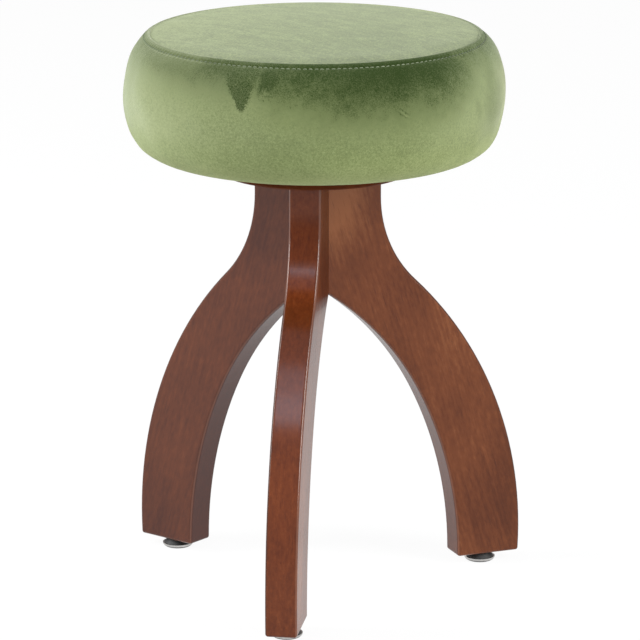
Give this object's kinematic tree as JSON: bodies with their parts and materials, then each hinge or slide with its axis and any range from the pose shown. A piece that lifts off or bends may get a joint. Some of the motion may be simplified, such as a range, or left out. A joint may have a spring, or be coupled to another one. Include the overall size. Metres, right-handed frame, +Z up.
{
  "type": "vanity stool",
  "caption": "Round velvet swivel cushion on curved wooden legs that meet under a round cap plate, standing on nail-on floor glides.",
  "frame": {"origin": "on the swivel axis at floor level", "axes": "+Z up along the swivel axis, -Y along the front leg, +X to the right seen from the front"},
  "size_m": [0.3328, 0.3448, 0.4835],
  "materials": {
    "velvet": "short pile velvet",
    "foam": "open cell foam",
    "plywood": "raw plywood",
    "dust_cloth": "thin non-woven cloth",
    "zinc_steel": "zinc plated",
    "ball_steel": "polished",
    "cage_plastic": "moulded",
    "stained_wood": "brown stain, satin lacquer",
    "dowel_wood": "raw beech",
    "nickel": "nickel plated",
    "rubber": "moulded"
  },
  "bodies": {
    "leg_frame": {"swivel_lower_plate": "zinc_steel", "swivel_eyelet": "zinc_steel", "lower_plate_screws": "zinc_steel", "cap_screws": "zinc_steel", "leg_cap": "stained_wood", "leg_dowels": "dowel_wood", "leg_front": "stained_wood", "glide_base_front": "nickel", "glide_cushion_front": "rubber", "glide_nail_front": "zinc_steel", "leg_right": "stained_wood", "glide_base_right": "nickel", "glide_cushion_right": "rubber", "glide_nail_right": "zinc_steel", "leg_left": "stained_wood", "glide_base_left": "nickel", "glide_cushion_left": "rubber", "glide_nail_left": "zinc_steel"},
    "seat": {"swivel_upper_plate": "zinc_steel", "upper_plate_screws": "zinc_steel", "seat_board": "plywood", "dust_cover": "dust_cloth", "cover_staples": "zinc_steel", "cover_side_band": "velvet", "cover_top_panel": "velvet", "seat_foam": "foam"},
    "ball_ring": {"swivel_balls": "ball_steel", "swivel_ball_cage": "cage_plastic"}
  },
  "joints": [
    {"name": "seat_swivel", "type": "hinge", "parent": "leg_frame", "child": "seat", "pos_m": [0, 0, 0.372], "axis": [0, 0, 1], "continuous": true},
    {"name": "ball_ring_roll", "type": "hinge", "parent": "leg_frame", "child": "ball_ring", "pos_m": [0, 0, 0.372], "axis": [0, 0, 1], "continuous": true}
  ],
  "couplings": [
    {"joint": "ball_ring_roll", "follows": "seat_swivel", "ratio": 0.5}
  ]
}
